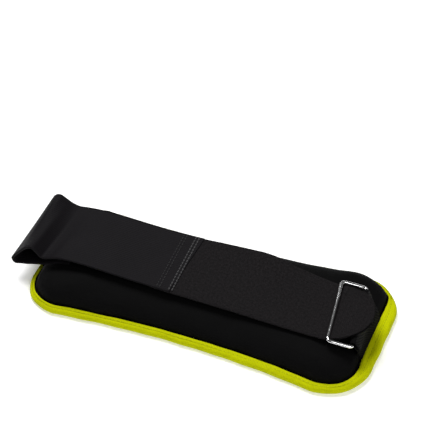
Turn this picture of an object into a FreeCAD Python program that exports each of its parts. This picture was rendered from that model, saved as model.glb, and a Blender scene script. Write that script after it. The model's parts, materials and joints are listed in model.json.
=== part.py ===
"""Ankle cuff weight: a long padded cuff of five filled pockets with a bright
bound rim, an elastic and hook-tape strap that folds back over the pad and
passes through a rectangular wire ring at the other end.

Frame: origin at the centre of the pad's underside (the leg face), +X along the
pad towards the ring, +Z up out of the padded face.  Millimetres.
"""
import FreeCAD, Part
import math
import os
from FreeCAD import Vector as V

os.makedirs("parts", exist_ok=True)

# ------------------------------------------------------- driving dimensions
POCKETS = 5
PAD_L = 248.0            # pad length over the binding
PAD_W = 111.0            # pad width over the binding, where it is widest, at the ring end
STRAP_END_W = 103.6      # its width at the end where the strap is sewn on
WAIST_W = 95.0           # its width at mid length
RING_END_R = 32.0        # corner radii in plan
STRAP_END_R = 26.5
PAD_H = 24.1             # height of the padded face
SEAM_GAP = 0.4           # gap between neighbouring pockets

BIND_H = 5.5             # height of the folded binding
BIND_W = 5.0             # width of the binding on each face
BIND_T = 1.0             # thickness of the binding tape
LINING_T = 2.0           # leg-side lining
LINING_HEM = 0.9         # the lining's thickness where the binding grips it
COVER_HEM = 2.1          # the cover's thickness where the binding grips it
COVER_T = 2.5            # knit-faced foam cover
POUCH_T = 0.6            # thin bag round the fill
FIT = 0.1                # clearance between layers
ROUND_REACH = 26.0       # distance over which the padding rises to full height
ROUND_POWER = 2.4        # how square its shoulder is, 2 being an ellipse
ROUND_STEPS = 9
END_SLOPE = 1.5          # how much more gently it rises at the two ends

STRAP_W = 52.0
STRAP_T = 1.8
STRAP_Z = 25.5           # mid height of the strap over the pad
TIP_R = 25.0             # radius of the rounded end, and half width at the ring
TIP_X, TIP_Y = 91.5, -2.0
TAPER_X0, TAPER_X1 = 26.0, 82.0
TIP_HINGE_X = 99.0       # where the free end bends up, on the line of its top face
TIP_HINGE_Z = 26.9
JOIN_X0, JOIN_X1 = -32.0, -19.0
JOIN_T = 1.2
LOOP_X = -105.0          # where the fold meets the flat strap
ANCHOR_END = (-111.2, 16.9)   # X and mid height where the sewn strap end leaves the cover
ANCHOR_ROWS = (-108.5, -101.0)

WIRE_R = 1.35            # ring wire radius
RING_CLEAR_W = 51.3      # clear width, which the strap passes
RING_CLEAR_L = 14.9      # clear length along the strap
RING_CORNER = 2.2        # inside corner radius
RING_TURN = 8.5          # turned about Z, in degrees
RING_X, RING_Y = 89.2, -2.5
RING_Z_BAR, RING_Z_PIVOT = 26.6, 23.1
KEEPER_W = 46.0
KEEPER_T = 0.9
KEEPER_END_X = 116.0     # where its legs are sewn to the padded face
KEEPER_PLAY = 0.25

THREAD_W = 0.6
THREAD_H = 0.3
THREAD_MARGIN = 1.5      # from a strap edge to the nearest row
JOIN_ROWS = (-30.6, -29.0, -22.4, -20.6)

# ------------------------------------------------------------ derived values
PITCH = PAD_L / POCKETS
HALF = STRAP_W / 2
Z_UNDER, Z_TOP = STRAP_Z - STRAP_T / 2, STRAP_Z + STRAP_T / 2
HEM_Z = BIND_T + FIT                      # underside of the lining's hem
COVER_Z = HEM_Z + LINING_HEM + FIT        # underside of the cover's hem
COVER_TOP = COVER_Z + COVER_HEM


# ------------------------------------------------------------------- helpers
def save(name, shape):
    """Writes one solid, and says so if it is not a single valid one."""
    if shape.ShapeType == "Compound" and len(shape.Solids) == 1:
        shape = shape.Solids[0]
    note = "" if shape.isValid() and len(shape.Solids) == 1 else "  NOT ONE VALID SOLID"
    shape.exportStep("parts/%s.step" % name)
    print("%-18s %10.1f mm3%s" % (name, shape.Volume, note))


def box(x0, x1, y0, y1, z0, z1):
    return Part.makeBox(x1 - x0, y1 - y0, z1 - z0, V(x0, y0, z0))


def seam(k):
    """X of the seam at the left of pocket k, counted from 0."""
    return -PAD_L / 2 + PITCH * k


def pocket(shape, k, inset=SEAM_GAP / 2):
    """The stretch of shape that lies over pocket k."""
    if k > 0:
        shape = shape.cut(box(-200, seam(k) + inset, -100, 100, -20, 60))
    if k < POCKETS - 1:
        shape = shape.cut(box(seam(k + 1) - inset, 200, -100, 100, -20, 60))
    return shape


def outline(inset, z, end_inset=0.0):
    """Waisted outline with rounded corners at height z, inset from the rim."""
    a = PAD_L / 2 - inset - end_inset
    left, waist, right = STRAP_END_W / 2 - inset, WAIST_W / 2 - inset, PAD_W / 2 - inset
    r_left, r_right = max(STRAP_END_R - inset, 6.0), max(RING_END_R - inset, 6.0)
    x_left, x_right = r_left - a, a - r_right

    def p(x, y):
        return V(x, y, z)

    def corner(x, y, r, start):
        spots = [math.radians(start + turn) for turn in (0, 45, 90)]
        return Part.Arc(*[p(x + r * math.cos(t), y + r * math.sin(t)) for t in spots]).toShape()

    return Part.Wire([
        Part.Arc(p(x_left, -left), p(0, -waist), p(x_right, -right)).toShape(),
        corner(x_right, r_right - right, r_right, 270),
        Part.makeLine(p(a, r_right - right), p(a, right - r_right)),
        corner(x_right, right - r_right, r_right, 0),
        Part.Arc(p(x_right, right), p(0, waist), p(x_left, left)).toShape(),
        corner(x_left, left - r_left, r_left, 90),
        Part.makeLine(p(-a, left - r_left), p(-a, r_left - left)),
        corner(x_left, r_left - left, r_left, 180)])


def plate(inset, z0, z1):
    return Part.Face(outline(inset, z0)).extrude(V(0, 0, z1 - z0))


def pillow(depth, floor):
    """Crowned solid that follows the padded face, depth below it, down to floor."""
    edge = BIND_W + 0.3 + depth
    spring = COVER_TOP + FIT
    rise = PAD_H - depth - spring
    wires = [outline(edge, floor)]
    for i in range(ROUND_STEPS + 1):
        angle = math.radians(90 * i / ROUND_STEPS)
        run = ROUND_REACH * (1 - math.cos(angle) ** (2 / ROUND_POWER))
        up = rise * math.sin(angle) ** (2 / ROUND_POWER)
        wires.append(outline(edge + run, spring + up, END_SLOPE * run))
    return Part.makeLoft(wires, True, True)


def end_height(x):
    """Height of the padded face on its end slope, at x along the middle."""
    run = (PAD_L / 2 - abs(x) - BIND_W - 0.3) / (1 + END_SLOPE)
    left = max(1 - run / ROUND_REACH, 0)
    spring = COVER_TOP + FIT
    return spring + (PAD_H - spring) * (1 - left ** ROUND_POWER) ** (1 / ROUND_POWER)


def strip(path, thick, width):
    """Strip of constant thickness along a smooth path in the XZ plane."""
    curve = Part.BSplineCurve()
    curve.interpolate([V(x, -width / 2, z) for x, z in path])
    first, last = curve.FirstParameter, curve.LastParameter
    over, under = [], []
    for i in range(61):
        t = first + (last - first) * i / 60
        point, along = curve.value(t), curve.tangent(t)[0]
        normal = V(-along.z, 0, along.x) * (thick / 2)
        over.append(point + normal)
        under.append(point - normal)
    edges = []
    for side in (over, under):
        line = Part.BSplineCurve()
        line.interpolate(side)
        edges.append(line.toShape())
    wire = Part.Wire([edges[0], Part.makeLine(over[-1], under[-1]), edges[1], Part.makeLine(under[0], over[0])])
    return Part.Face(wire).extrude(V(0, width, 0))


def thread_rows(xs, z, y_half):
    """Straight rows of thread across the strap, one shape with its end rows."""
    x0, x1 = xs[0] - THREAD_W / 2, xs[-1] + THREAD_W / 2
    rows = box(x0, x1, -y_half, -y_half + THREAD_W, z, z + THREAD_H)
    rows = rows.fuse(box(x0, x1, y_half - THREAD_W, y_half, z, z + THREAD_H))
    for x in xs:
        rows = rows.fuse(box(x - THREAD_W / 2, x + THREAD_W / 2, -y_half, y_half, z, z + THREAD_H))
    return rows.removeSplitter()


def sloped_rows(xs, path, y_half):
    """A frame of thread that lies on a sloping strip, between two rows at xs."""
    lifted = [(x, z + STRAP_T / 2 + 0.25 + THREAD_H / 2) for x, z in path]
    cloth = strip(lifted, THREAD_H, 2 * y_half)
    inner = box(xs[0] + THREAD_W, xs[1] - THREAD_W, -y_half + THREAD_W, y_half - THREAD_W, 0, 60)
    outer = box(xs[0], xs[1], -y_half, y_half, 0, 60)
    return cloth.common(outer).cut(inner)


# -------------------------------------------------------------- pad and rim
def make_pad():
    lining = plate(BIND_W + 0.3, 0, LINING_T).fuse(plate(BIND_T + 0.3, HEM_Z, LINING_T)).removeSplitter()
    hem = plate(BIND_T + 0.3, COVER_Z, COVER_TOP)
    cover = hem.fuse(pillow(0, COVER_Z)).cut(pillow(COVER_T, COVER_Z - FIT))
    pouch_depth = COVER_T + 0.4
    pouch_floor = LINING_T + 0.3
    pouch = pillow(pouch_depth, pouch_floor)
    pouch_inside = pillow(pouch_depth + POUCH_T, pouch_floor + POUCH_T)
    fill = pillow(pouch_depth + POUCH_T + 0.2, pouch_floor + POUCH_T + 0.2)
    pouch_side = 1.2
    for k in range(POCKETS):
        bag = pocket(pouch, k, pouch_side).cut(pocket(pouch_inside, k, pouch_side + POUCH_T))
        save("outer_cover_%d" % (k + 1), pocket(cover, k))
        save("lining_%d" % (k + 1), pocket(lining, k))
        save("pouch_%d" % (k + 1), bag)
        save("iron_fill_%d" % (k + 1), pocket(fill, k, pouch_side + POUCH_T + 0.2))


def make_binding():
    folded = plate(0, 0, BIND_H).cut(plate(BIND_W, -1, BIND_H + 1))
    folded = folded.cut(plate(BIND_T, BIND_T, BIND_H - BIND_T))
    for k in range(POCKETS):
        piece = pocket(folded, k)
        if k in (0, POCKETS - 1):
            save("binding_end_%d" % (k + 1), piece)
        else:
            save("binding_front_%d" % (k + 1), piece.common(box(-200, 200, -100, 0, -1, 10)))
            save("binding_rear_%d" % (k + 1), piece.common(box(-200, 200, 0, 100, -1, 10)))


# -------------------------------------------------------------------- strap
def make_strap():
    anchor = [(x, end_height(x) + STRAP_T / 2 + 0.5) for x in (-98.5, -103.5, -107.5)] + [ANCHOR_END]
    save("strap_anchor", strip(anchor, STRAP_T, STRAP_W))
    fold = [(ANCHOR_END[0] - 0.15, ANCHOR_END[1] - 0.08), (-118.5, 14.9), (-127.0, 14.5), (-134.8, 14.6),
            (-136.0, 18.6), (-131.0, 27.4), (-125.0, 32.2), (-119.5, 28.0), (-113.5, 25.4), (LOOP_X, STRAP_Z)]
    save("strap_loop", strip(fold, STRAP_T, STRAP_W))
    save("elastic_strap_1", box(LOOP_X + 0.5, seam(1) - 0.2, -HALF, HALF, Z_UNDER, Z_TOP))
    save("elastic_strap_2", box(seam(1) + 0.2, JOIN_X1 - 0.2, -HALF, HALF, Z_UNDER, Z_TOP))
    save("strap_join", box(JOIN_X0, JOIN_X1, -HALF, HALF, Z_TOP + 0.05, Z_TOP + 0.05 + JOIN_T))
    save("hook_tape_3", box(JOIN_X1 + 0.2, seam(3) - 0.2, -HALF, HALF, Z_UNDER, Z_TOP))

    near, far = TIP_Y - TIP_R, TIP_Y + TIP_R
    start = seam(3) - 5
    plan = Part.Wire([
        Part.makePolygon([V(TIP_X, far, 0), V(TAPER_X1, far, 0), V(TAPER_X0, HALF, 0), V(start, HALF, 0),
                          V(start, -HALF, 0), V(TAPER_X0, -HALF, 0), V(TAPER_X1, near, 0), V(TIP_X, near, 0)]),
        Part.Arc(V(TIP_X, near, 0), V(TIP_X + TIP_R, TIP_Y, 0), V(TIP_X, far, 0)).toShape()])
    path = [(start, STRAP_Z), (40.0, STRAP_Z), (62.0, 25.4), (76.0, 24.8), (84.0, 24.1), (90.0, 23.8),
            (95.0, 24.3), (99.0, 25.6), (103.5, 26.8), (109.0, 27.2), (118.0, 27.4)]
    band = strip(path, STRAP_T, STRAP_W + 8).common(Part.Face(plan).extrude(V(0, 0, 60)))
    save("hook_tape_4", band.common(box(seam(3) + 0.2, seam(4) - 0.2, -60, 60, 0, 60)))
    save("hook_tape_5", band.common(box(seam(4) + 0.2, TIP_HINGE_X - 0.15, -60, 60, 0, 60)))
    save("strap_tip", band.common(box(TIP_HINGE_X + 0.15, 130, -60, 60, 0, 60)))

    save("join_stitches", thread_rows(JOIN_ROWS, Z_TOP + JOIN_T + 0.1, HALF - THREAD_MARGIN))
    save("anchor_stitches", sloped_rows(ANCHOR_ROWS, anchor, HALF - THREAD_MARGIN))


# ---------------------------------------------------------- ring and keeper
def ring_placement():
    """Placement of the ring's own frame: origin on the near bar, +X to the pivot bar."""
    drop = math.degrees(math.asin((RING_Z_BAR - RING_Z_PIVOT) / (RING_CLEAR_L + 2 * WIRE_R)))
    turn = FreeCAD.Rotation(V(0, 0, 1), RING_TURN).multiply(FreeCAD.Rotation(V(0, 1, 0), drop))
    return FreeCAD.Placement(V(RING_X, RING_Y, RING_Z_BAR), turn)


def make_ring():
    length = RING_CLEAR_L + 2 * WIRE_R
    side = RING_CLEAR_W / 2 + WIRE_R
    r = RING_CORNER + WIRE_R
    c = r * (1 - math.sqrt(0.5))

    def p(x, y):
        return V(x, y, 0)

    path = Part.Wire([
        Part.makeLine(p(0, -side + r), p(0, side - r)),
        Part.Arc(p(0, side - r), p(c, side - c), p(r, side)).toShape(),
        Part.makeLine(p(r, side), p(length - r, side)),
        Part.Arc(p(length - r, side), p(length - c, side - c), p(length, side - r)).toShape(),
        Part.makeLine(p(length, side - r), p(length, -side + r)),
        Part.Arc(p(length, -side + r), p(length - c, -side + c), p(length - r, -side)).toShape(),
        Part.makeLine(p(length - r, -side), p(r, -side)),
        Part.Arc(p(r, -side), p(c, -side + c), p(0, -side + r)).toShape()])
    ring = path.makePipeShell([Part.Wire([Part.makeCircle(WIRE_R, p(0, 0), V(0, 1, 0))])], True, False)
    ring.Placement = ring_placement()
    save("ring", ring)


def keeper_section(pivot, along, y):
    """Webbing round the pivot bar, both legs running down to the padded face, where they are sewn."""
    cx = pivot.x + (y - pivot.y) * along.x / along.y
    cz = pivot.z
    r = WIRE_R + KEEPER_PLAY + KEEPER_T
    loop = [(cx + r * math.cos(a), cz + r * math.sin(a)) for a in [math.radians(t) for t in range(40, 271, 10)]]
    sewn_x = KEEPER_END_X - 2 * KEEPER_T
    lower_leg = [(sewn_x - 1.2, end_height(sewn_x) + 2.4), (sewn_x, end_height(sewn_x) + 0.4)]
    upper_leg = [(KEEPER_END_X, end_height(KEEPER_END_X) + 0.6), (KEEPER_END_X - 0.4, end_height(sewn_x) + 3.4)]
    points = [V(x, y, z) for x, z in loop + lower_leg + upper_leg]
    return Part.makePolygon(points + points[:1])


def make_keeper():
    frame = ring_placement()
    pivot = frame.multVec(V(RING_CLEAR_L + 2 * WIRE_R, 0, 0))
    along = frame.Rotation.multVec(V(0, 1, 0))
    print("ring pivot", [round(v, 3) for v in pivot], "axis", [round(v, 5) for v in along])
    print("free end hinge", [TIP_HINGE_X, 0, TIP_HINGE_Z])
    ends = [keeper_section(pivot, along, y) for y in (-KEEPER_W / 2, KEEPER_W / 2)]
    hole = Part.makeCylinder(WIRE_R + KEEPER_PLAY, 90, pivot - along * 45, along)
    save("ring_keeper", Part.makeLoft(ends, True, True).cut(hole))


make_pad()
make_binding()
make_strap()
make_ring()
make_keeper()
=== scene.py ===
"""Ankle cuff weight, laid open: padded cuff, bound rim, folded strap and wire ring."""

import json
import math

import bmesh
import bpy
import numpy as np
from mathutils import Matrix, Vector
from mathutils.bvhtree import BVHTree


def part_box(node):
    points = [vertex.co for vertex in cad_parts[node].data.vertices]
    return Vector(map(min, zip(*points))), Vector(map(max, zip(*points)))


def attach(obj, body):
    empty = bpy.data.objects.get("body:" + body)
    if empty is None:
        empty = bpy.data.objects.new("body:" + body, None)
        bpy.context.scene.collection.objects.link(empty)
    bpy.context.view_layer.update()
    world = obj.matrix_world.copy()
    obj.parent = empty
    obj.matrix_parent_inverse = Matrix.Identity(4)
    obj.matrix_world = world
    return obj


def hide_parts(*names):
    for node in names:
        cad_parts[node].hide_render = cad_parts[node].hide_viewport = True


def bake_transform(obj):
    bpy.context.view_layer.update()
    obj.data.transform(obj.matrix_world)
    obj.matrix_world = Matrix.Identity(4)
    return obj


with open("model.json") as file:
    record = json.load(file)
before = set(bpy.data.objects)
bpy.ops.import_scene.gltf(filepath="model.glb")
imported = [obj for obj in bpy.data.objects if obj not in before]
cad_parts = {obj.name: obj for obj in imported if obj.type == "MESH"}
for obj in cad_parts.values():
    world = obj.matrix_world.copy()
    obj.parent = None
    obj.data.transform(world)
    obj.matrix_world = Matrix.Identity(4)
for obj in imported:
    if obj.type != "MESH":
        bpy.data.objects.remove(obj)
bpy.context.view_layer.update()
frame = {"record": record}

MM = 0.001
POCKETS = 5
JOINTS = {joint["name"]: joint for joint in frame["record"]["behaviour"]["joints"]}

# ======== sizes, millimetres
def size_of(node, axis, side=1):
    """The node's lowest (side 0) or highest (side 1) place along an axis, in millimetres."""
    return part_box(node)[side][axis] / MM


PAD_L = size_of("binding_end_5", 0) - size_of("binding_end_1", 0, 0)
PAD_W = 2 * size_of("binding_end_5", 1)             # pad width at the ring end
STRAP_END_W = 2 * size_of("binding_end_1", 1)       # and at the end where the strap is sewn on
WAIST_W = 95.0
RING_END_R, STRAP_END_R = 32.0, 26.5                # corner radii in plan
PITCH = PAD_L / POCKETS
PAD_H = size_of("outer_cover_3", 2)
BIND_H = size_of("binding_front_3", 2)
CENTRES = [-PAD_L / 2 + PITCH * (k + 0.5) for k in range(POCKETS)]
SEAMS = [-PAD_L / 2 + PITCH * k for k in range(1, POCKETS)]
SPLITS = CENTRES[1:-1]          # where a long piece is parted: the middles of pockets 2, 3 and 4

STRAP_T = 1.6
STRAP_HALF = 26.6               # half the strap's width before it narrows
TIP_R = 25.0                    # radius of its round end
TIP_X = 91.5                    # where the round end starts
TAPER = (26.0, 82.0)            # it narrows between these two places
DRIFT = (1.5, -2.0)             # the strap's middle line in Y, before and after the taper
JOIN_X = (-33.0, -19.0)         # where the hook tape starts and where the elastic ends
LEAN_X = (-90.0, 20.0, 62.0, 100.0)
FILL_LEAN = (-0.02, 0.10, 0.06, -0.02)      # rise per mm of Y there: the fill has slid to the back


# ======== shader building
def add(tree, kind, inputs=None, **settings):
    """A node with its settings, and each input given a value or a link."""
    node = tree.nodes.new(kind)
    for name, value in settings.items():
        setattr(node, name, value)
    for key, value in (inputs or {}).items():
        if isinstance(value, bpy.types.NodeSocket):
            tree.links.new(value, node.inputs[key])
        else:
            node.inputs[key].default_value = value
    return node


def maths(tree, operation, a, b=0.0, clamp=False):
    return add(tree, "ShaderNodeMath", {0: a, 1: b}, operation=operation, use_clamp=clamp).outputs[0]


def times(tree, a, b):
    return maths(tree, "MULTIPLY", a, b)


def plus(tree, a, b):
    return maths(tree, "ADD", a, b)


def ripple(tree, place, count):
    """A sine along one direction of the cloth, with count half waves per metre."""
    return maths(tree, "SINE", times(tree, times(tree, place, count), math.pi))


def new_group(name, settings, results):
    """A shader group that takes a vector and some numbers, with defaults, and gives numbers."""
    tree = bpy.data.node_groups.new(name, "ShaderNodeTree")
    face = tree.interface
    face.new_socket("Vector", in_out="INPUT", socket_type="NodeSocketVector")
    for label, value in settings.items():
        face.new_socket(label, in_out="INPUT", socket_type="NodeSocketFloat").default_value = value
    for label in results:
        face.new_socket(label, in_out="OUTPUT", socket_type="NodeSocketFloat")
    return tree, tree.nodes.new("NodeGroupInput").outputs, tree.nodes.new("NodeGroupOutput").inputs


def use_group(tree, group, **inputs):
    node = tree.nodes.new("ShaderNodeGroup")
    node.node_tree = group
    for key, value in inputs.items():
        socket = node.inputs[key.replace("_", " ").capitalize()]
        if isinstance(value, bpy.types.NodeSocket):
            tree.links.new(value, socket)
        else:
            socket.default_value = value
    return node.outputs


def weave_group():
    """Plain weave: threads along U and V that pass over and under each other."""
    tree, given, result = new_group(
        "plain weave", {"Ends": 1500.0, "Picks": 1500.0}, ("Height", "Warp on top"))
    split = add(tree, "ShaderNodeSeparateXYZ", {0: given["Vector"]})
    across = ripple(tree, split.outputs[1], given["Ends"])
    along = ripple(tree, split.outputs[0], given["Picks"])
    warp_up = maths(tree, "GREATER_THAN", times(tree, across, along), 0.0)
    warp = times(tree, maths(tree, "ABSOLUTE", across), warp_up)
    weft = times(tree, maths(tree, "ABSOLUTE", along), maths(tree, "SUBTRACT", 1.0, warp_up))
    tree.links.new(maths(tree, "MAXIMUM", warp, weft), result["Height"])
    tree.links.new(warp_up, result["Warp on top"])
    return tree


def rib_group():
    """Ribs that run along U, crossed by fine picks in the grooves."""
    tree, given, result = new_group("ribbed band", {"Ribs": 700.0, "Picks": 1400.0}, ("Height", "Groove"))
    split = add(tree, "ShaderNodeSeparateXYZ", {0: given["Vector"]})
    across = ripple(tree, split.outputs[1], given["Ribs"])
    rib = maths(tree, "POWER", maths(tree, "ABSOLUTE", across), 0.6)
    along = ripple(tree, split.outputs[0], given["Picks"])
    pick = times(tree, maths(tree, "ABSOLUTE", along), 0.25)
    tree.links.new(plus(tree, rib, pick), result["Height"])
    tree.links.new(maths(tree, "SUBTRACT", 1.0, rib), result["Groove"])
    return tree


def knit_group():
    """Fine jersey: columns of little V stitches."""
    tree, given, result = new_group("jersey knit", {"Wales": 1200.0, "Courses": 1500.0}, ("Height",))
    split = add(tree, "ShaderNodeSeparateXYZ", {0: given["Vector"]})
    column = maths(tree, "FRACT", times(tree, split.outputs[1], given["Wales"]))
    lean = maths(tree, "ABSOLUTE", maths(tree, "SUBTRACT", column, 0.5))
    row = plus(tree, times(tree, split.outputs[0], given["Courses"]), lean)
    loop = maths(tree, "ABSOLUTE", maths(tree, "SINE", times(tree, row, math.pi)))
    groove = maths(tree, "SINE", times(tree, column, math.pi))
    tree.links.new(times(tree, loop, groove), result["Height"])
    return tree


def mottle_group():
    """Uneven tone of used cloth: broad patches, fine fibres and a few pale specks of lint."""
    tree, given, result = new_group(
        "cloth mottle", {"Patch": 60.0, "Fibre": 1800.0, "Contrast": 0.5}, ("Tone", "Fibres", "Lint"))
    place = given["Vector"]
    patch = add(tree, "ShaderNodeTexNoise", {"Vector": place, "Scale": given["Patch"], "Detail": 4.0})
    fibre = add(tree, "ShaderNodeTexNoise", {
        "Vector": place, "Scale": given["Fibre"], "Detail": 3.0, "Roughness": 0.7})
    both = plus(tree, times(tree, patch.outputs[0], 0.55), times(tree, fibre.outputs[0], 0.45))
    centred = times(tree, times(tree, maths(tree, "SUBTRACT", both, 0.5), given["Contrast"]), 4.0)
    speck = add(tree, "ShaderNodeTexVoronoi", {"Vector": place, "Scale": 260.0})
    lint = times(tree, maths(tree, "LESS_THAN", speck.outputs["Distance"], 0.045),
                 maths(tree, "GREATER_THAN", patch.outputs[0], 0.54))
    tree.links.new(maths(tree, "ADD", centred, 0.5, clamp=True), result["Tone"])
    tree.links.new(fibre.outputs[0], result["Fibres"])
    tree.links.new(lint, result["Lint"])
    return tree


WEAVE, RIBS, KNIT, MOTTLE = weave_group(), rib_group(), knit_group(), mottle_group()


def start_material(name, roughness, specular, sheen=0.0, sheen_roughness=0.5):
    """A material with its Principled shader, whose plain constants sit on its own sockets."""
    material = bpy.data.materials.new(name)
    material.use_nodes = True
    tree = material.node_tree
    tree.nodes.clear()
    shader = add(tree, "ShaderNodeBsdfPrincipled", {
        "Roughness": roughness, "Specular IOR Level": specular,
        "Sheen Weight": sheen, "Sheen Roughness": sheen_roughness})
    add(tree, "ShaderNodeOutputMaterial", {0: shader.outputs[0]})
    return material, tree, shader


def blend_colour(tree, factor, low, high):
    mix = add(tree, "ShaderNodeMix", data_type="RGBA")
    tree.links.new(factor, mix.inputs[0])
    for socket, value in ((mix.inputs[6], low), (mix.inputs[7], high)):
        if isinstance(value, bpy.types.NodeSocket):
            tree.links.new(value, socket)
        else:
            socket.default_value = (*value, 1.0)
    return mix.outputs[2]


def coat(tree, shader, colour, height, distance, strength):
    """Gives the shader its colour, and a relief of that depth in metres."""
    tree.links.new(colour, shader.inputs["Base Color"])
    bump = add(tree, "ShaderNodeBump", {"Height": height, "Distance": distance, "Strength": strength})
    tree.links.new(bump.outputs[0], shader.inputs["Normal"])


def uv_of(tree):
    return add(tree, "ShaderNodeUVMap", uv_map="cloth").outputs[0]


def neoprene():
    material, tree, shader = start_material("black jersey neoprene", 0.8, 0.06, 0.01, 0.4)
    shader.inputs["Sheen Tint"].default_value = (0.6, 0.6, 0.62, 1)
    cloth = uv_of(tree)
    knit = use_group(tree, KNIT, vector=cloth, wales=1150.0, courses=1500.0)
    tone = use_group(tree, MOTTLE, vector=cloth, patch=45.0, fibre=1500.0, contrast=0.5)
    base = blend_colour(tree, tone["Tone"], (0.0020, 0.0020, 0.0021), (0.0048, 0.0046, 0.0048))
    base = blend_colour(tree, knit["Height"], (0.0012, 0.0012, 0.0013), base)
    base = blend_colour(tree, times(tree, tone["Lint"], 0.5), base, (0.012, 0.012, 0.012))
    grain = plus(tree, times(tree, knit["Height"], 0.5), times(tree, tone["Fibres"], 0.5))
    coat(tree, shader, base, grain, 0.00012, 0.6)
    return material


def lining_cloth():
    material, tree, shader = start_material("brushed loop lining", 0.95, 0.08, 0.05, 0.6)
    cloth = uv_of(tree)
    tone = use_group(tree, MOTTLE, vector=cloth, patch=70.0, fibre=2400.0, contrast=0.9)
    base = blend_colour(tree, tone["Tone"], (0.004, 0.004, 0.0044), (0.014, 0.0135, 0.0145))
    base = blend_colour(tree, tone["Lint"], base, (0.07, 0.07, 0.07))
    coat(tree, shader, base, tone["Fibres"], 0.0004, 0.9)
    return material


def elastic_cloth():
    material, tree, shader = start_material("ribbed elastic", 0.6, 0.08, 0.015, 0.35)
    cloth = uv_of(tree)
    ribs = use_group(tree, RIBS, vector=cloth, ribs=620.0, picks=1100.0)
    tone = use_group(tree, MOTTLE, vector=cloth, patch=38.0, fibre=900.0, contrast=0.45)
    base = blend_colour(tree, tone["Tone"], (0.0042, 0.0036, 0.0046), (0.0080, 0.0068, 0.0085))
    base = blend_colour(tree, times(tree, ribs["Groove"], 0.7), base, (0.0028, 0.0026, 0.0030))
    coat(tree, shader, base, ribs["Height"], 0.00022, 0.8)
    return material


def hook_tape_cloth():
    material, tree, shader = start_material("hook tape back", 0.7, 0.08, 0.015, 0.4)
    cloth = uv_of(tree)
    weave = use_group(tree, WEAVE, vector=cloth, ends=950.0, picks=1250.0)
    tone = use_group(tree, MOTTLE, vector=cloth, patch=650.0, fibre=1500.0, contrast=1.2)
    base = blend_colour(tree, tone["Tone"], (0.0042, 0.0036, 0.0040), (0.0150, 0.0130, 0.0141))
    base = blend_colour(tree, times(tree, weave["Warp on top"], 0.35), base, (0.0044, 0.0040, 0.0043))
    base = blend_colour(tree, times(tree, tone["Lint"], 0.6), base, (0.035, 0.035, 0.035))
    grain = plus(tree, weave["Height"], times(tree, tone["Fibres"], 0.8))
    coat(tree, shader, base, grain, 0.0002, 0.8)
    return material


def binding_tape():
    material, tree, shader = start_material("lime binding tape", 0.7, 0.05, 0.01, 0.4)
    shader.inputs["Sheen Tint"].default_value = (0.9, 1.0, 0.4, 1)
    cloth = uv_of(tree)
    weave = use_group(tree, WEAVE, vector=cloth, ends=1300.0, picks=900.0)
    tone = use_group(tree, MOTTLE, vector=cloth, patch=90.0, fibre=1500.0, contrast=0.7)
    base = blend_colour(tree, tone["Tone"], (0.60, 0.65, 0.0), (0.92, 0.98, 0.0))
    base = blend_colour(tree, times(tree, weave["Height"], 0.45), (0.46, 0.50, 0.0), base)
    coat(tree, shader, base, plus(tree, weave["Height"], tone["Fibres"]), 0.00018, 0.8)
    return material


def webbing_cloth():
    material, tree, shader = start_material("keeper webbing", 0.75, 0.06, 0.01, 0.4)
    cloth = uv_of(tree)
    weave = use_group(tree, WEAVE, vector=cloth, ends=700.0, picks=900.0)
    tone = use_group(tree, MOTTLE, vector=cloth, patch=80.0, fibre=1400.0, contrast=0.6)
    # Black webbing, made darker than the cloth around it so that the keeper reads as the shade under the
    # strap's tip: partly its own black, partly painted shade.
    base = blend_colour(tree, tone["Tone"], (0.0016, 0.0016, 0.0017), (0.0042, 0.0040, 0.0043))
    base = blend_colour(tree, weave["Height"], (0.0016, 0.0016, 0.0017), base)
    coat(tree, shader, base, weave["Height"], 0.0003, 0.9)
    return material


def thread_cloth(name, dark, light, roughness=0.5):
    """Twisted sewing thread, its ply lines slanting along each stitch."""
    material, tree, shader = start_material(name, roughness, 0.12, 0.02, 0.4)
    place = add(tree, "ShaderNodeTexCoord").outputs["Object"]
    ply = add(tree, "ShaderNodeTexWave", {"Vector": place, "Scale": 420.0, "Distortion": 2.0, "Detail": 2.0},
              bands_direction="DIAGONAL")
    fibre = add(tree, "ShaderNodeTexNoise", {"Vector": place, "Scale": 2600.0})
    base = blend_colour(tree, ply.outputs["Fac"], dark, light)
    grain = plus(tree, ply.outputs["Fac"], times(tree, fibre.outputs[0], 0.5))
    coat(tree, shader, base, grain, 0.00008, 0.7)
    return material


def ring_chrome():
    material, tree, shader = start_material("polished ring wire", 0.12, 0.5)
    shader.inputs["Metallic"].default_value = 1.0
    place = add(tree, "ShaderNodeTexCoord").outputs["Object"]
    haze = add(tree, "ShaderNodeTexNoise", {"Vector": place, "Scale": 60.0, "Detail": 5.0})
    scratch = add(tree, "ShaderNodeTexNoise", {
        "Vector": place, "Scale": 900.0, "Detail": 2.0, "Distortion": 1.5})
    base = blend_colour(tree, haze.outputs[0], (0.84, 0.84, 0.85), (0.94, 0.94, 0.94))
    rough = add(tree, "ShaderNodeMapRange", {
        "Value": haze.outputs[0], "From Min": 0.3, "From Max": 0.7, "To Min": 0.08, "To Max": 0.2})
    tree.links.new(rough.outputs[0], shader.inputs["Roughness"])
    coat(tree, shader, base, scratch.outputs[0], 0.000004, 0.3)
    return material


NEOPRENE, LINING, ELASTIC, HOOK_TAPE = neoprene(), lining_cloth(), elastic_cloth(), hook_tape_cloth()
BINDING, WEBBING, CHROME = binding_tape(), webbing_cloth(), ring_chrome()
BLACK_THREAD = thread_cloth("black thread", (0.004, 0.004, 0.0045), (0.012, 0.0115, 0.0125))
PALE_THREAD = thread_cloth("grey thread", (0.030, 0.0295, 0.031), (0.085, 0.083, 0.086))
DIM_THREAD = thread_cloth("dim grey thread", (0.014, 0.0135, 0.0145), (0.034, 0.0325, 0.0345))
LIME_THREAD = thread_cloth("lime thread", (0.28, 0.31, 0.0), (0.52, 0.56, 0.0))


# ======== geometry building
def new_object(name, data):
    thing = bpy.data.objects.new(name, data)
    bpy.context.scene.collection.objects.link(thing)
    return thing


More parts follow.
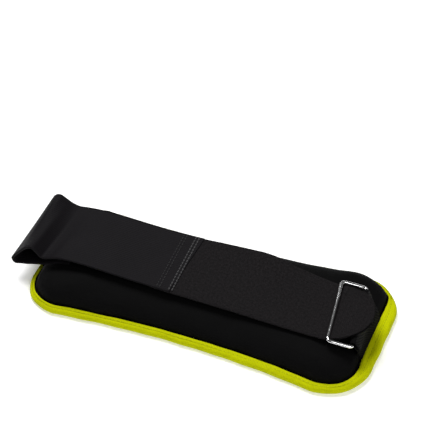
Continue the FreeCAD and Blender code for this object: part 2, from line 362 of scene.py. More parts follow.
def run_along(points):
    """Distance run along a line of points, from 0 at its start."""
    return np.r_[0, np.cumsum(np.linalg.norm(np.diff(points, axis=0), axis=1))]


def put_mesh(name, points, faces, uv=None, material=None, smooth=True):
    """A mesh object from millimetre points. uv holds one pair per face corner, in metres."""
    mesh = bpy.data.meshes.new(name)
    mesh.from_pydata([tuple(float(c) * MM for c in p) for p in points], [], faces)
    if uv is not None:
        layer = mesh.uv_layers.new(name="cloth")
        layer.data.foreach_set("uv", np.asarray(uv, np.float32).ravel())
    mesh.validate()
    mesh.polygons.foreach_set("use_smooth", [smooth] * len(mesh.polygons))
    if material:
        mesh.materials.append(material)
    return new_object(name, mesh)


def face_outward(thing):
    work = bmesh.new()
    work.from_mesh(thing.data)
    bmesh.ops.recalc_face_normals(work, faces=work.faces)
    work.to_mesh(thing.data)
    work.free()


def wrap_grid(name, rows, material, u_lengths, v_lengths, close_rows=False, cap=False):
    """Closed tube of rows x columns: each row is a ring of points round the tube's section."""
    n, m = rows.shape[:2]
    faces, uv = [], []
    last = n if close_rows else n - 1
    for i in range(last):
        i2 = (i + 1) % n
        for j in range(m):
            j2 = (j + 1) % m
            faces.append((i * m + j, i2 * m + j, i2 * m + j2, i * m + j2))
            u0, u1 = u_lengths[i], u_lengths[i + 1]
            v0, v1 = v_lengths[j], v_lengths[j + 1]
            uv += [(u0, v0), (u1, v0), (u1, v1), (u0, v1)]
    if cap:
        faces.append(tuple(range(m)))
        faces.append(tuple((n - 1) * m + j for j in reversed(range(m))))
        uv += [(u_lengths[0], v_lengths[j]) for j in range(m)]
        uv += [(u_lengths[-1], v_lengths[j]) for j in reversed(range(m))]
    thing = put_mesh(name, rows.reshape(-1, 3), faces, uv, material)
    face_outward(thing)
    return thing


def smooth_line(points, count):
    """count points evenly spaced along a Catmull-Rom curve through points (centripetal)."""
    points = np.asarray(points, float)
    ends = np.vstack([2 * points[0] - points[1], points, 2 * points[-1] - points[-2]])
    dense = []
    for i in range(1, len(ends) - 2):
        p0, p1, p2, p3 = ends[i - 1:i + 3]
        k1 = np.linalg.norm(p1 - p0) ** 0.5 + 1e-9
        k2 = np.linalg.norm(p2 - p1) ** 0.5 + 1e-9
        k3 = np.linalg.norm(p3 - p2) ** 0.5 + 1e-9
        m1 = (p1 - p0) / k1 - (p2 - p0) / (k1 + k2) + (p2 - p1) / k2
        m2 = (p2 - p1) / k2 - (p3 - p1) / (k2 + k3) + (p3 - p2) / k3
        for t in np.linspace(0, 1, 24, endpoint=False):
            h1, h2 = 2 * t ** 3 - 3 * t ** 2 + 1, -2 * t ** 3 + 3 * t ** 2
            h3, h4 = t ** 3 - 2 * t ** 2 + t, t ** 3 - t ** 2
            dense.append(h1 * p1 + h2 * p2 + k2 * (h3 * m1 + h4 * m2))
    dense = np.array(dense + [points[-1]])
    run = run_along(dense)
    want = np.linspace(0, run[-1], count)
    return np.stack([np.interp(want, run, dense[:, k]) for k in range(dense.shape[1])], -1)


def band(name, sheet, thick, material, start_u=0.0):
    """Closed strip of cloth: sheet is an array (along, across, xyz) of its middle surface."""
    n, m = sheet.shape[:2]
    along, across = np.gradient(sheet, axis=0), np.gradient(sheet, axis=1)
    normal = np.cross(along, across)
    normal /= np.linalg.norm(normal, axis=2, keepdims=True) + 1e-12
    outward = across / (np.linalg.norm(across, axis=2, keepdims=True) + 1e-12)
    over, under = sheet + normal * thick / 2, sheet - normal * thick / 2
    near_edge = sheet[:, :1] - outward[:, :1] * thick * 0.35
    far_edge = sheet[:, -1:] + outward[:, -1:] * thick * 0.35
    rows = np.concatenate([over, far_edge, under[:, ::-1], near_edge], axis=1)
    u = run_along(sheet[:, m // 2]) * MM + start_u
    v = run_along(rows[n // 2]) * MM
    v = np.r_[v, v[-1] + thick * 0.6 * MM] - v[m // 2]
    return wrap_grid(name, rows, material, u, v, cap=True)


SIDE_POINTS, END_POINTS, CORNER_POINTS = 96, 28, 25


def rim(inset, end_inset=0.0):
    """The pad's waisted outline at an inset, counterclockwise from the near left corner."""
    a = PAD_L / 2 - inset - end_inset
    left, waist, right = STRAP_END_W / 2 - inset, WAIST_W / 2 - inset, PAD_W / 2 - inset
    r_left, r_right = max(STRAP_END_R - inset, 6.0), max(RING_END_R - inset, 6.0)
    x_left, x_right = r_left - a, a - r_right
    bow = np.linalg.solve([[x_left, x_left ** 2], [x_right, x_right ** 2]], [left - waist, right - waist])
    xs = np.linspace(x_left, x_right, SIDE_POINTS, endpoint=False)
    near = np.stack([xs, -(waist + bow[0] * xs + bow[1] * xs ** 2)], -1)
    back = np.linspace(x_right, x_left, SIDE_POINTS, endpoint=False)
    far = np.stack([back, waist + bow[0] * back + bow[1] * back ** 2], -1)
    ring_ys = np.linspace(r_right - right, right - r_right, END_POINTS, endpoint=False)
    strap_ys = np.linspace(left - r_left, r_left - left, END_POINTS, endpoint=False)

    def corner(x, y, r, start):
        turn = np.radians(start + np.linspace(0, 90, CORNER_POINTS, endpoint=False))
        return np.stack([x + r * np.cos(turn), y + r * np.sin(turn)], -1)

    def end(x, ys):
        return np.stack([np.full(END_POINTS, x), ys], -1)

    return np.vstack([near, corner(x_right, r_right - right, r_right, -90),
                      end(a, ring_ys), corner(x_right, right - r_right, r_right, 0),
                      far, corner(x_left, left - r_left, r_left, 90),
                      end(-a, strap_ys), corner(x_left, r_left - left, r_left, 180)])


MOST_INSET = 60
RIMS = np.array([rim(inset) for inset in range(MOST_INSET + 1)])
RIM_COUNT = RIMS.shape[1]


def rim_at(insets):
    """One outline point for each of the rim's places, each at its own inset."""
    low = np.clip(np.floor(insets).astype(int), 0, len(RIMS) - 2)
    part = (insets - low)[:, None]
    places = np.arange(RIM_COUNT)
    return RIMS[low, places] * (1 - part) + RIMS[low + 1, places] * part


def tape_width():
    """How far the binding reaches in over the top, at each place round the rim."""
    stops = [(0, 4.2), (40, 4.6), (75, 5.4), (96, 5.0), (106, 4.8), (112, 6.0), (121, 8.8), (135, 9.2),
             (150, 9.0), (154, 7.8), (160, 3.4), (174, 3.4), (190, 4.4), (225, 4.6), (270, 4.4), (290, 3.8),
             (310, 3.2), (335, 3.4), (RIM_COUNT, 4.2)]
    xs, ws = zip(*stops)
    return np.interp(np.arange(RIM_COUNT), xs, ws) + 0.22 * even_noise(RIM_COUNT, (7, 11, 19, 31), 4)


def even_noise(count, waves, seed):
    """Smooth closed random waviness around a loop, between about -1 and 1."""
    rng = np.random.default_rng(seed)
    around = np.linspace(0, 2 * math.pi, count, endpoint=False)
    total = sum(math.cos(rng.uniform(0, 6.28)) * np.sin(k * around + rng.uniform(0, 6.28)) for k in waves)
    return total / (np.abs(total).max() + 1e-9)


TAPE_WIDTH = tape_width()
TAPE_LIFT = 0.2 * even_noise(RIM_COUNT, (6, 13, 23, 41), 12)
TAPE_MIDDLE = 2.7               # height that parts the tape's upper side from its lower


# ======== pieces, parted at the pockets' middles
def finish_piece(nodes=()):
    if nodes:
        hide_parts(*nodes)


def cut_copy(thing, name, low, high):
    """A copy of thing that keeps only low < x < high, in millimetres. None is no limit."""
    piece = thing.copy()
    piece.data = thing.data.copy()
    piece.name = piece.data.name = name
    bpy.context.scene.collection.objects.link(piece)
    work = bmesh.new()
    work.from_mesh(piece.data)
    for x, side in ((low, -1), (high, 1)):
        if x is not None:
            everything = work.verts[:] + work.edges[:] + work.faces[:]
            bmesh.ops.bisect_plane(work, geom=everything, plane_co=(x * MM, 0, 0), plane_no=(side, 0, 0),
                                   clear_outer=True, dist=1e-7)
    work.to_mesh(piece.data)
    work.free()
    return piece


def bend_over(thing):
    """Bakes thing's placement into its mesh; it is not bent. Pair 0 is pockets 1 and 2, and so on."""
    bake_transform(thing)


def part_and_bend(thing, stem, nodes_of, spans=(0, 1, 2, 3)):
    """Parts a long piece at the pockets' middles and bakes each length's placement; no length is bent."""
    limits = [None, *SPLITS, None]
    made = []
    for pair in spans:
        piece = cut_copy(thing, "%s_%d_%d" % (stem, pair + 1, pair + 2), limits[pair], limits[pair + 1])
        if not piece.data.vertices:
            bpy.data.objects.remove(piece)
            continue
        bend_over(piece)
        finish_piece(nodes_of(pair))
        made.append(piece)
    bpy.data.objects.remove(thing)
    return made


# ======== stitch rows
def stitch_tree():
    """Geometry Nodes: a row of stitches of a given size and pitch along a line of points."""
    tree = bpy.data.node_groups.new("stitch row", "GeometryNodeTree")
    face = tree.interface
    face.new_socket("Line", in_out="INPUT", socket_type="NodeSocketGeometry")
    for label, value in (("Pitch", 0.003), ("Stitch length", 0.0022), ("Thread radius", 0.0003)):
        face.new_socket(label, in_out="INPUT", socket_type="NodeSocketFloat").default_value = value
    face.new_socket("Thread", in_out="INPUT", socket_type="NodeSocketMaterial")
    face.new_socket("Geometry", in_out="OUTPUT", socket_type="NodeSocketGeometry")
    given = tree.nodes.new("NodeGroupInput").outputs
    result = tree.nodes.new("NodeGroupOutput").inputs
    line = add(tree, "GeometryNodeMeshToCurve", {"Mesh": given["Line"]})
    spots = add(tree, "GeometryNodeCurveToPoints", {"Curve": line.outputs[0], "Length": given["Pitch"]},
                mode="LENGTH")
    turn = add(tree, "FunctionNodeAlignRotationToVector", {"Vector": spots.outputs["Tangent"]}, axis="X")
    seed = add(tree, "GeometryNodeMeshUVSphere", {"Segments": 8, "Rings": 5, "Radius": 1.0})
    half = add(tree, "ShaderNodeMath", {0: given["Stitch length"], 1: 0.5}, operation="MULTIPLY")
    size = add(tree, "ShaderNodeCombineXYZ", {
        0: half.outputs[0], 1: given["Thread radius"], 2: given["Thread radius"]})
    stitch = add(tree, "GeometryNodeTransform", {"Geometry": seed.outputs["Mesh"], "Scale": size.outputs[0]})
    row = add(tree, "GeometryNodeInstanceOnPoints", {
        "Points": spots.outputs[0], "Instance": stitch.outputs[0], "Rotation": turn.outputs[0]})
    solid = add(tree, "GeometryNodeRealizeInstances", {0: row.outputs[0]})
    smooth = add(tree, "GeometryNodeSetShadeSmooth", {"Geometry": solid.outputs[0]})
    coated = add(tree, "GeometryNodeSetMaterial", {
        "Geometry": smooth.outputs[0], "Material": given["Thread"]})
    tree.links.new(coated.outputs[0], result["Geometry"])
    return tree


STITCHES = stitch_tree()


def stitch_rows(name, rows, pitch, length, radius, thread):
    """All the rows (lists of millimetre points) as one plain mesh of stitches."""
    points, edges = [], []
    for row in rows:
        first = len(points)
        points += [tuple(float(c) * MM for c in p) for p in row]
        edges += [(first + i, first + i + 1) for i in range(len(row) - 1)]
    mesh = bpy.data.meshes.new(name)
    mesh.from_pydata(points, edges, [])
    line = new_object(name + "_line", mesh)
    modifier = line.modifiers.new("stitches", "NODES")
    modifier.node_group = STITCHES
    values = {
        "Pitch": pitch * MM, "Stitch length": length * MM, "Thread radius": radius * MM, "Thread": thread}
    for item in STITCHES.interface.items_tree:
        if item.in_out == "INPUT" and item.name in values:
            modifier[item.identifier] = values[item.name]
    bpy.context.view_layer.update()
    made = bpy.data.meshes.new_from_object(line.evaluated_get(bpy.context.evaluated_depsgraph_get()))
    made.name = name
    bpy.data.objects.remove(line)
    return new_object(name, made)


# ======== padded cover
def pillow_blank():
    """Closed blank for the padded body, a little slack, that the cloth run fills out."""
    reach, power, steps = 26.0, 2.4, 13
    end_slope, floor, spring = 1.5, 3.0, 4.3
    rise = (PAD_H - spring) * 0.95
    edge = TAPE_WIDTH + 0.4
    at_end = np.abs(rim(0)[:, 0]) / (PAD_L / 2)
    rings = [np.c_[rim_at(edge + 1.5), np.full(RIM_COUNT, floor)],
             np.c_[rim_at(edge), np.full(RIM_COUNT, spring)]]
    for i in range(1, steps + 1):
        angle = math.radians(90 * i / steps)
        run = reach * (1 - math.cos(angle) ** (2 / power))
        up = rise * math.sin(angle) ** (2 / power)
        flat = rim_at(edge + run)
        flat[:, 0] -= np.sign(flat[:, 0]) * end_slope * run * np.clip((at_end - 0.55) / 0.45, 0, 1) ** 1.5
        rings.append(np.c_[flat, np.full(RIM_COUNT, spring + up)])
    points = np.vstack(rings)
    faces = []
    for i in range(len(rings) - 1):
        for j in range(RIM_COUNT):
            j2 = (j + 1) % RIM_COUNT
            first = i * RIM_COUNT
            faces.append((first + j, first + j2, first + RIM_COUNT + j2, first + RIM_COUNT + j))
    faces.append(tuple(reversed(range(RIM_COUNT))))
    faces.append(tuple((len(rings) - 1) * RIM_COUNT + j for j in range(RIM_COUNT)))
    blank = put_mesh("pad_blank", points, faces)
    face_outward(blank)
    return blank


def apply_modifiers(thing):
    """Bakes the modifiers into the mesh and removes them."""
    bpy.context.view_layer.update()
    result = bpy.data.meshes.new_from_object(thing.evaluated_get(bpy.context.evaluated_depsgraph_get()))
    thing.modifiers.clear()
    thing.data = result
    return thing


def points_of(thing):
    flat = np.empty(len(thing.data.vertices) * 3, np.float32)
    thing.data.vertices.foreach_get("co", flat)
    return flat.reshape(-1, 3).astype(float) / MM


def set_points(thing, points):
    thing.data.vertices.foreach_set("co", (points * MM).astype(np.float32).ravel())
    thing.data.update()


def inflate(thing, pressure, frames, cap):
    """Cloth run with the low edge held; no point ends further than cap from where it began."""
    before = points_of(thing)
    held_below = 5.6
    held = thing.vertex_groups.new(name="held")
    held.add([int(i) for i in np.where(before[:, 2] < held_below)[0]], 1.0, "REPLACE")
    cloth = thing.modifiers.new("fill", "CLOTH")
    settings = cloth.settings
    settings.quality = 6
    settings.mass = 0.25
    settings.tension_stiffness = 22
    settings.compression_stiffness = 18
    settings.shear_stiffness = 8
    settings.bending_stiffness = 1.2
    settings.use_pressure = True
    settings.uniform_pressure_force = pressure
    settings.effector_weights.gravity = 0.0
    settings.vertex_group_mass = "held"
    cloth.point_cache.frame_start = 1
    cloth.point_cache.frame_end = frames
    for frame_number in range(1, frames + 1):
        bpy.context.scene.frame_set(frame_number)
    apply_modifiers(thing)
    bpy.context.scene.frame_set(1)
    after = points_of(thing)
    move = after - before
    far = np.linalg.norm(move, axis=1, keepdims=True)
    set_points(thing, before + move * np.minimum(1.0, cap / (far + 1e-9)))


def ring_of_tape(name, profile_at, material):
    """Closed ring of tape round the pad. profile_at(j) gives its (inset, height) points at place j."""
    rows = []
    for j in range(RIM_COUNT):
        profile = profile_at(j)
        low = np.clip(np.floor(profile[:, 0]).astype(int), 0, 20)
        part = (profile[:, 0] - low)[:, None]
        rows.append(np.c_[RIMS[low, j] * (1 - part) + RIMS[low + 1, j] * part, profile[:, 1]])
    ring = np.vstack([RIMS[0], RIMS[0][:1]])
    profile = profile_at(0)
    u = run_along(ring) * MM
    v = run_along(np.vstack([profile, profile[:1]])) * MM
    return wrap_grid(name, np.array(rows), material, u, v, close_rows=True)


def add_hem(body):
    """The cover's flat pressed hem, which runs in under the binding, made part of its mesh."""
    low = 2.7

    def section(j):
        reach = TAPE_WIDTH[j]
        return np.array([(reach - 2.0, low), (reach - 2.0, 4.1), (reach + 1.0, 4.4), (reach + 4.5, 4.9),
                         (reach + 4.5, low)])

    hem = ring_of_tape("cover_hem", section, NEOPRENE)
    work = bmesh.new()
    work.from_mesh(body.data)
    work.from_mesh(hem.data)
    work.to_mesh(body.data)
    work.free()
    bpy.data.objects.remove(hem)


def make_cover():
    body = pillow_blank()
    remesh = body.modifiers.new("even", "REMESH")
    remesh.mode = "VOXEL"
    remesh.voxel_size = 4.0 * MM
    remesh.use_smooth_shade = True
    apply_modifiers(body)
    inflate(body, pressure=4.0, frames=20, cap=4.0)
    fine = body.modifiers.new("fine", "SUBSURF")
    fine.levels = fine.render_levels = 1
    apply_modifiers(body)

    x, y, z = points_of(body).T
    height = np.clip((z - BIND_H) / (PAD_H - BIND_H), 0, 1)
    z = z + height * (PAD_H - z.max())
    z = z + height * y * np.interp(x, LEAN_X, FILL_LEAN)
    for seam in SEAMS:                       # the filled bags leave a shallow dip over each seam
        z = z - 0.7 * height * np.exp(-((x - seam) / 7.0) ** 2)
    lump = np.sin(x / 9.0 + 1.3) * np.sin(y / 8.0 + 0.4) + 0.6 * np.sin(x / 4.7 - 0.8) * np.sin(y / 5.3 + 2.0)
    z = z + 0.22 * height * lump
    slack = np.clip(1 - height * 2.2, 0, 1) * np.clip((z - 3.5) / 2, 0, 1)
    gather = np.sin(x / 2.6 + 0.8 * np.sin(x / 11.0)) * (np.abs(y) > 30) + np.sin(y / 2.4) * (np.abs(x) > 95)
    y = y - np.sign(y) * 0.28 * slack * gather
    set_points(body, np.stack([x, y, z], -1))
    add_hem(body)
    x, y, z = points_of(body).T

    mesh = body.data
    mesh.polygons.foreach_set("use_smooth", [True] * len(mesh.polygons))
    mesh.materials.clear()
    mesh.materials.append(NEOPRENE)
    for layer in list(mesh.uv_layers):
        mesh.uv_layers.remove(layer)
    layer = mesh.uv_layers.new(name="cloth")
    across = (y + np.sign(y) * (PAD_H - z)) * MM
    corner = np.empty(len(mesh.loops), np.int32)
    mesh.loops.foreach_get("vertex_index", corner)
    layer.data.foreach_set("uv", np.stack([x[corner] * MM, across[corner]], -1).astype(np.float32).ravel())
    return body


def pockets_of(pair):
    """The pockets whose CAD solids a piece over this pair stands for, each pocket once."""
    return (1, 2) if pair == 0 else (pair + 2,)


def hidden_in(pair):
    return ["%s_%d" % (stem, k) for stem in ("outer_cover", "pouch", "iron_fill") for k in pockets_of(pair)]


cover = make_cover()
cover_tree = BVHTree.FromPolygons([v.co[:] for v in cover.data.vertices],
                                  [p.vertices[:] for p in cover.data.polygons])
for piece in part_and_bend(cover, "cover", hidden_in):
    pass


def cover_top(x, y):
    """Height of the cover under a point, in millimetres, or of the bound rim beyond its edge."""
    hit = cover_tree.ray_cast(Vector((x * MM, y * MM, 0.1)), Vector((0, 0, -1)))[0]
    return hit.z / MM if hit else BIND_H


# ======== bound rim
def binding_profile(width):
    """Folded tape in (inset, height): its outside from the under edge to the top edge, then its inside."""
    nose = 2.4
    outside = [(width, 0.0), (width * 0.6, 0.0), (nose, 0.0)]
    for turn in range(15, 180, 15):
        angle = math.radians(turn)
        outside.append((nose * (1 - math.sin(angle)), BIND_H / 2 * (1 - math.cos(angle))))
    top = BIND_H + 0.1
    outside += [(nose, top), (width * 0.48, top + 0.2), (width * 0.57, top - 0.3), (width * 0.66, top + 0.15),
                (width * 0.88, top + 0.45), (width, top + 0.25), (width + 0.15, top - 0.5)]
    inside = [(width - 0.3, top - 1.1), (nose + 0.2, top - 1.1), (1.3, BIND_H / 2), (nose + 0.2, 1.0),
              (width - 0.2, 1.0)]
    return np.array(outside + inside)


def make_binding():
    sway = 0.35 * even_noise(RIM_COUNT, (5, 9, 17, 29), 8)

    def section(j):
        profile = binding_profile(TAPE_WIDTH[j])
        inset, z = profile.T
        return np.c_[inset + sway[j] * np.clip(1 - inset / 5, 0, 1), z + TAPE_LIFT[j] * (z > TAPE_MIDDLE)]

    return ring_of_tape("binding", section, BINDING)


def binding_nodes(pair):
    sides = ["binding_%s_%d" % (side, pair + 2) for side in ("front", "rear")]
    return (["binding_end_1"] + sides, sides, sides, ["binding_end_5"])[pair]


part_and_bend(make_binding(), "binding", binding_nodes)


def rim_stitches():
    """The line of lime stitches near the tape's top edge, and its twin below."""
    def around(share, z):
        spots = rim_at(TAPE_WIDTH * share)
        row = np.c_[spots, z + TAPE_LIFT * (z > TAPE_MIDDLE)]
        return np.vstack([row, row[:1]])

    rows = [around(0.57, BIND_H - 0.05), around(0.6, 0.12)]
    return stitch_rows("rim_stitches", rows, 3.1, 2.5, 0.28, LIME_THREAD)


part_and_bend(rim_stitches(), "rim_stitches", lambda pair: ())


# ======== lining
def half_width(x, inset):
    """Half the pad's width at x, at an inset from the rim."""
    place = rim(inset)
    near = place[place[:, 1] < 0]
    order = np.argsort(near[:, 0])
    return -float(np.interp(x, near[order, 0], near[order, 1]))


def make_lining():
    """Leg side: a brushed sheet inside the binding, drawn in along the pocket seams."""
    hem, columns, thick = 5.1, 49, 1.8
    rows = []
    for x in np.linspace(-PAD_L / 2 + hem, PAD_L / 2 - hem, 150):
        reach = half_width(x, hem)
        ys = np.linspace(-reach, reach, columns)
        dip = 0.55 * sum(math.exp(-((x - seam) / 2.2) ** 2) for seam in SEAMS)
        zs = 0.05 + dip + 0.10 * np.sin(ys / 4.1 + x / 9.0) ** 2
        rows.append(np.stack([np.full(columns, x), ys, zs + thick / 2], -1))
    return band("lining", np.array(rows), thick, LINING)


part_and_bend(make_lining(), "lining", lambda pair: ["lining_%d" % k for k in pockets_of(pair)])


def pocket_seams():
    rows = []
    for seam in SEAMS:
        reach = half_width(seam, 7.0)
        rows.append([(seam, y, 0.52) for y in np.linspace(-reach, reach, 30)])
    return stitch_rows("pocket_seams", rows, 3.0, 2.3, 0.26, BLACK_THREAD)


part_and_bend(pocket_seams(), "pocket_seams", lambda pair: ())

# ======== strap
# Top surface of the strap along its near and its far edge, as (X, Z) in millimetres: from the end sewn on the
# pad's shoulder, out round the fold, back over the pad and through the ring.
STRAP_ROWS, STRAP_COLUMNS = 330, 27
MIDDLE = STRAP_COLUMNS // 2
SEWN_RUN, FOLD_RUN, PAD_RUN = 18.0, 60.0, 80.0      # run of the strap: sewn down, folded, back on the pad
SEWN_X = (-98.0, -102.5, -107.0)
NEAR_FOLD = [(-116.5, 16.2), (-125.0, 15.6), (-132.0, 14.2), (-137.5, 12.9), (-139.2, 15.5), (-133.2, 24.2),
             (-128.4, 29.4), (-124.6, 31.1), (-120.8, 27.6), (-117.0, 23.9), (-112.0, 24.8), (-106.0, 27.0)]
FAR_FOLD = [(-116.5, 16.4), (-124.0, 15.4), (-130.0, 15.5), (-132.2, 18.5), (-131.4, 26.0), (-129.2, 31.4),
            (-125.6, 34.0), (-120.8, 31.4), (-116.0, 28.4), (-110.5, 27.0), (-104.5, 27.6)]
NEAR_FLAT = [(-86.0, 28.2), (-30.0, 26.4), (-5.0, 25.0), (35.0, 23.8), (70.0, 23.6), (91.5, 24.0)]
FAR_FLAT = [(-86.0, 28.5), (-30.0, 28.2), (-8.0, 28.9), (20.0, 30.6), (36.0, 31.2), (55.0, 27.8),
            (78.0, 25.3), (91.5, 25.4)]
TIP_PATH = [(91.5, 24.7), (99.0, 26.3), (103.5, 27.5), (109.0, 28.0), (117.0, 28.2)]


def sewn_end():
    return [(x, cover_top(x, 0.0) + STRAP_T + 0.2) for x in SEWN_X]


NEAR_EDGE = sewn_end() + NEAR_FOLD + NEAR_FLAT
FAR_EDGE = sewn_end() + FAR_FOLD + FAR_FLAT


def part_way(x, start, end):
    """How far x is from start to end, from 0 to 1."""
    return min(max((x - start) / (end - start), 0.0), 1.0)


def taper(x, before, after):
    return before + (after - before) * part_way(x, *TAPER)


def strap_sheet(rows=STRAP_ROWS, columns=STRAP_COLUMNS):
    """Middle surface of the long band, up to where the tip starts."""
    near, far = smooth_line(NEAR_EDGE, rows), smooth_line(FAR_EDGE, rows)
    sheet = np.zeros((rows, columns, 3))
    run = np.linspace(0, 1, rows)
    sewn = np.clip(1.4 - run / 0.075, 0, 1)          # the end folded in where it is sewn down
    set_back = np.exp(-((run - 0.34) / 0.09) ** 2)    # the band lies a little further back just past the fold
    for i in range(rows):
        for j, side in enumerate(np.linspace(-1, 1, columns)):
            share = (side + 1) / 2
            x, z = near[i] * (1 - share) + far[i] * share
            half = taper(x, STRAP_HALF, TIP_R)
            if side < 0:
                half -= 5.0 * sewn[i]
            y = taper(x, *DRIFT) + 1.3 * set_back[i] + side * half
            sheet[i, j] = (x, y, z)
    along = np.gradient(sheet, axis=0)
    across = np.gradient(sheet, axis=1)
    normal = np.cross(along, across)
    normal /= np.linalg.norm(normal, axis=2, keepdims=True)
    return sheet - np.abs(normal[:, :, 2:]) * np.array([0, 0, STRAP_T / 2])


def rest_on_cover(sheet, thick, rows):
    """Lifts the given rows where they would dip into the cover."""
    for i in rows:
        for j in range(sheet.shape[1]):
            x, y, z = sheet[i, j]
            sheet[i, j, 2] = max(z, cover_top(x, y) + thick / 2 + 0.25)
    return sheet


sheet = strap_sheet()
lengths = run_along(sheet[:, MIDDLE])
sewn_rows = [i for i in range(len(sheet)) if lengths[i] < SEWN_RUN]
flat_rows = [i for i in range(len(sheet)) if lengths[i] > PAD_RUN]
sheet = rest_on_cover(sheet, STRAP_T, sewn_rows + flat_rows)
middle = sheet[:, MIDDLE, 0]
past_fold = lengths > FOLD_RUN
elastic_end = int(np.argmax(past_fold & (middle > JOIN_X[1])))
tape_start = int(np.argmax(past_fold & (middle > JOIN_X[0])))


def sink(x):
    """How far the tape's top lies below the elastic's: it rises to the same height past the join."""
    share = part_way(x, JOIN_X[1], JOIN_X[1] + 14.0)
    return 0.45 * (1 - share * share * (3 - 2 * share))


elastic = sheet[:elastic_end + 1].copy()
tape = sheet[tape_start:].copy()
for i in range(len(tape)):
    tape[i, :, 2] -= sink(tape[i, MIDDLE, 0])

elastic_band = band("elastic", elastic, STRAP_T, ELASTIC)
elastic_nodes = {0: ("strap_anchor", "strap_loop", "elastic_strap_1"), 1: ("elastic_strap_2", "strap_join")}
part_and_bend(elastic_band, "elastic", lambda pair: elastic_nodes[pair], spans=(0, 1))

tape_band = band("hook_tape", tape, STRAP_T, HOOK_TAPE, start_u=0.25)
tape_nodes = {1: (), 2: ("hook_tape_3", "hook_tape_4"), 3: ("hook_tape_5",)}
part_and_bend(tape_band, "hook_tape", lambda pair: tape_nodes[pair], spans=(1, 2, 3))


def make_tip(rows=22, columns=41):
    """Rounded free end, hanging on past the ring's far bar."""
    path = np.array(TIP_PATH)
    near_z, far_z = NEAR_FLAT[-1][1], FAR_FLAT[-1][1]
    points = np.zeros((rows, columns, 3))
    for j in range(columns):
        side = math.sin(math.pi / 2 * (-1 + 2 * j / (columns - 1)) * 0.985)
        reach = TIP_R * math.sqrt(max(1 - side * side, 0.0))
        for i in range(rows):
            x = TIP_X + reach * i / (rows - 1)
            z = np.interp(x, path[:, 0], path[:, 1]) - STRAP_T / 2
            z += (far_z - near_z) / 2 * side * max(0.0, 1 - (x - TIP_X) / 15)
            points[i, j] = (x, DRIFT[1] + TIP_R * side, z)
    return band("strap_tip_end", points, STRAP_T, HOOK_TAPE, start_u=0.42)


tip = make_tip()
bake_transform(tip)
finish_piece(["strap_tip"])


# ======== strap stitching
def strap_row(x_at, lift):
    """A row of points across the elastic at x_at, on its top face over the pad."""
    over_pad = elastic[lengths[:len(elastic)] > FOLD_RUN]
    row = []
    for j in range(1, STRAP_COLUMNS - 1):
        y, z = [np.interp(x_at, over_pad[:, j, 0], over_pad[:, j, axis]) for axis in (1, 2)]
        row.append((x_at, y, z + STRAP_T / 2 + lift))
    return row


def join_rows(name, places, lift, length, radius, thread, nodes=()):
    """Rows of stitches across the overlap, which lies between pockets 2 and 3."""
    rows = stitch_rows(name, [strap_row(x, lift) for x in places], 2.6, length, radius, thread)
    bend_over(rows)
    finish_piece(nodes)


join_rows("join_stitches_edge", (-19.9, -22.2), 0.12, 2.7, 0.62, PALE_THREAD, ["join_stitches"])
join_rows("join_stitches_inner", (-28.8, -30.9), 0.06, 2.6, 0.5, DIM_THREAD)


def anchor_stitches():
    """A stitched box that holds the strap's end to the pad's shoulder."""
    sewn = elastic[:len(sewn_rows)]
    box_x = (-100.0, -106.0)

    def row_at(x, j):
        return int(np.argmin(np.abs(sewn[:, j, 0] - x)))

    def raised(points):
        return [(p[0] + 0.4, p[1], p[2] + STRAP_T / 2 + 0.1) for p in points]

    rows = [raised(sewn[row_at(x, MIDDLE), 1:-1]) for x in box_x]
    rows += [raised(sewn[row_at(box_x[0], j):row_at(box_x[1], j) + 1, j]) for j in (1, -2)]
    return stitch_rows("anchor_rows", rows, 2.6, 2.1, 0.28, BLACK_THREAD)


anchor = anchor_stitches()
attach(anchor, "pocket_1")
finish_piece(["anchor_stitches"])


# ======== ring and keeper
PIVOT = Vector(JOINTS["ring_swing"]["pos_m"]) / MM
BAR = Vector(JOINTS["ring_swing"]["axis"]).normalized()
RING_WIRE = 1.25
RING_HALF_W = 27.0
NEAR_BAR = Vector((89.2, -2.5, 26.1))     # middle of the bar that lies on the strap
RING_ROLL = 2.0                           # degrees, the near end lower


def make_ring(corner=2.8, sides=20):
    """Wire ring: rounded rectangle swept with a round section, its far bar on the pivot."""
    forward = PIVOT - NEAR_BAR
    length = forward.length
    x_axis = forward.normalized()
    roll = Matrix.Rotation(math.radians(RING_ROLL), 3, x_axis)
    y_axis = roll @ (BAR - x_axis * BAR.dot(x_axis)).normalized()
    z_axis = x_axis.cross(y_axis)
    path = []
    side = RING_HALF_W - corner
    for cx, cy, start in ((length - corner, side, 0), (corner, side, 90),
                          (corner, -side, 180), (length - corner, -side, 270)):
        for turn in np.linspace(0, 90, 11):
            angle = math.radians(start + turn)
            out_x, out_y = math.cos(angle), math.sin(angle)
            path.append((cx + corner * out_x, cy + corner * out_y, out_x, out_y))
    path = np.array(path)
    dense = []
    for k in range(len(path)):
        here, after = path[k], path[(k + 1) % len(path)]
        gap = np.linalg.norm(after[:2] - here[:2])
        steps = max(1, int(gap / 2.0))
        for s in range(steps):
            dense.append(here + (after - here) * s / steps)
    rows = []
    for px, py, nx, ny in dense:
        centre = NEAR_BAR + x_axis * px + y_axis * py
        outward = x_axis * nx + y_axis * ny
        rows.append([centre + outward * RING_WIRE * math.cos(a) + z_axis * RING_WIRE * math.sin(a)
                     for a in np.linspace(0, 2 * math.pi, sides, endpoint=False)])
    rows = np.array([[tuple(p) for p in row] for row in rows])
    u = np.arange(len(rows) + 1) * 0.002
    v = np.arange(sides + 1) * 0.0004
    return wrap_grid("ring_wire", rows, CHROME, u, v, close_rows=True)


ring = make_ring()
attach(ring, "ring")
finish_piece(["ring"])


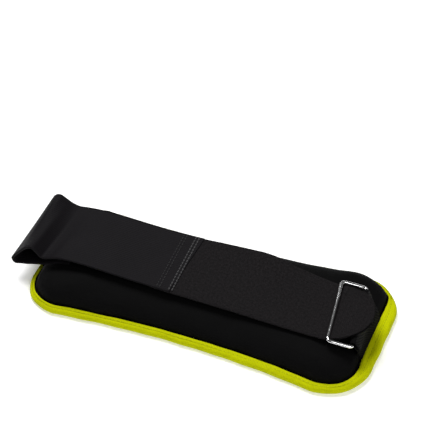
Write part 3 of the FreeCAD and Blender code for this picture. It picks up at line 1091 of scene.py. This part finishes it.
def make_keeper(half=25.0, columns=21, steps=70, thick=0.9):
    """Webbing sewn to the pad's end slope, up round the ring's far bar and back down on itself."""
    radius = RING_WIRE + 0.3 + thick / 2
    rows = []
    for y in np.linspace(-half, half, columns):
        bar = PIVOT + BAR * ((y - PIVOT.y) / BAR.y)
        under = [(x, cover_top(x, y) + thick / 2 + 0.15) for x in (114.2, 112.4)]
        under.append((bar.x + 3.4, (under[-1][1] + bar.z - radius) / 2 + 0.6))
        loop = [(bar.x + radius * math.cos(math.radians(a)), bar.z + radius * math.sin(math.radians(a)))
                for a in range(285, 30, -30)]
        over = [(x, cover_top(x, y) + thick * 1.5 + 0.25) for x in (112.8, 114.8)]
        over.insert(0, (bar.x + 4.2, (over[0][1] + bar.z) / 2 + 1.6))
        line = smooth_line(under + loop + over, steps)
        narrowing = np.interp(np.arange(steps), (0, 22, 46, steps - 1), (0.76, 1.0, 1.0, 0.76))
        rows.append(np.stack([line[:, 0], y * narrowing, line[:, 1]], -1))
    return band("ring_keeper_web", np.array(rows).transpose(1, 0, 2), thick, WEBBING)


keeper = make_keeper()
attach(keeper, "pocket_5")
finish_piece(["ring_keeper"])


# ======== floor, light, camera
def make_floor():
    material, tree, shader = start_material("studio sheet", 0.9, 0.2)
    shader.inputs["Emission Color"].default_value = (1, 1, 1, 1)
    shader.inputs["Emission Strength"].default_value = 0.3
    place = add(tree, "ShaderNodeTexCoord").outputs["Object"]
    grain = add(tree, "ShaderNodeTexNoise", {"Vector": place, "Scale": 3.0, "Detail": 2.0})
    base = blend_colour(tree, grain.outputs[0], (0.90, 0.90, 0.90), (0.93, 0.93, 0.93))
    tree.links.new(base, shader.inputs["Base Color"])
    reach, level = 4000, -0.3
    corners = [(x * reach, y * reach, level) for x, y in ((-1, -1), (1, -1), (1, 1), (-1, 1))]
    floor = put_mesh("studio_floor", corners, [(0, 1, 2, 3)], material=material, smooth=False)


def area_light(name, place, size, watts):
    light = bpy.data.lights.new(name, "AREA")
    light.shape = "DISK"
    light.size = size
    light.energy = watts
    thing = new_object(name, light)
    thing.location = place
    thing.rotation_euler = (-Vector(place)).to_track_quat("-Z", "Y").to_euler()


def make_studio():
    world = bpy.data.worlds.new("studio")
    world.use_nodes = True
    tree = world.node_tree
    place = add(tree, "ShaderNodeTexCoord").outputs["Generated"]
    height = add(tree, "ShaderNodeSeparateXYZ", {0: place}).outputs[2]
    sky = add(tree, "ShaderNodeMapRange", {
        "Value": height, "From Min": 0.18, "From Max": 0.62, "To Min": 0.18, "To Max": 2.2})
    tree.links.new(sky.outputs[0], tree.nodes["Background"].inputs["Strength"])
    bpy.context.scene.world = world
    area_light("key", (-0.6, 0.5, 1.6), 1.0, 30.0)
    area_light("fill", (1.0, -0.9, 1.3), 1.2, 14.0)
    bpy.context.scene.view_settings.view_transform = "Standard"


CAMERA_AZIMUTH, CAMERA_ELEVATION, CAMERA_ROLL = 21.6, 44.17, -0.52
CAMERA_DISTANCE = 1.586
CAMERA_LENS = 185.0
CAMERA_TARGET = Vector((-0.029, 0.0797, 0.0))


def make_camera():
    camera = bpy.data.cameras.new("camera")
    camera.lens = CAMERA_LENS
    camera.sensor_width = 36.0
    thing = new_object("camera", camera)
    az, el = math.radians(CAMERA_AZIMUTH), math.radians(CAMERA_ELEVATION)
    back = Vector((math.sin(az) * math.cos(el), -math.cos(az) * math.cos(el), math.sin(el)))
    right = Vector((math.cos(az), math.sin(az), 0.0))
    up = back.cross(right)
    turn = Matrix.Rotation(math.radians(CAMERA_ROLL), 3, back)
    axes = Matrix((right, up, back)).transposed()
    thing.matrix_world = Matrix.Translation(CAMERA_TARGET + back * CAMERA_DISTANCE) @ (turn @ axes).to_4x4()
    bpy.context.scene.camera = thing


make_floor()
make_studio()
make_camera()
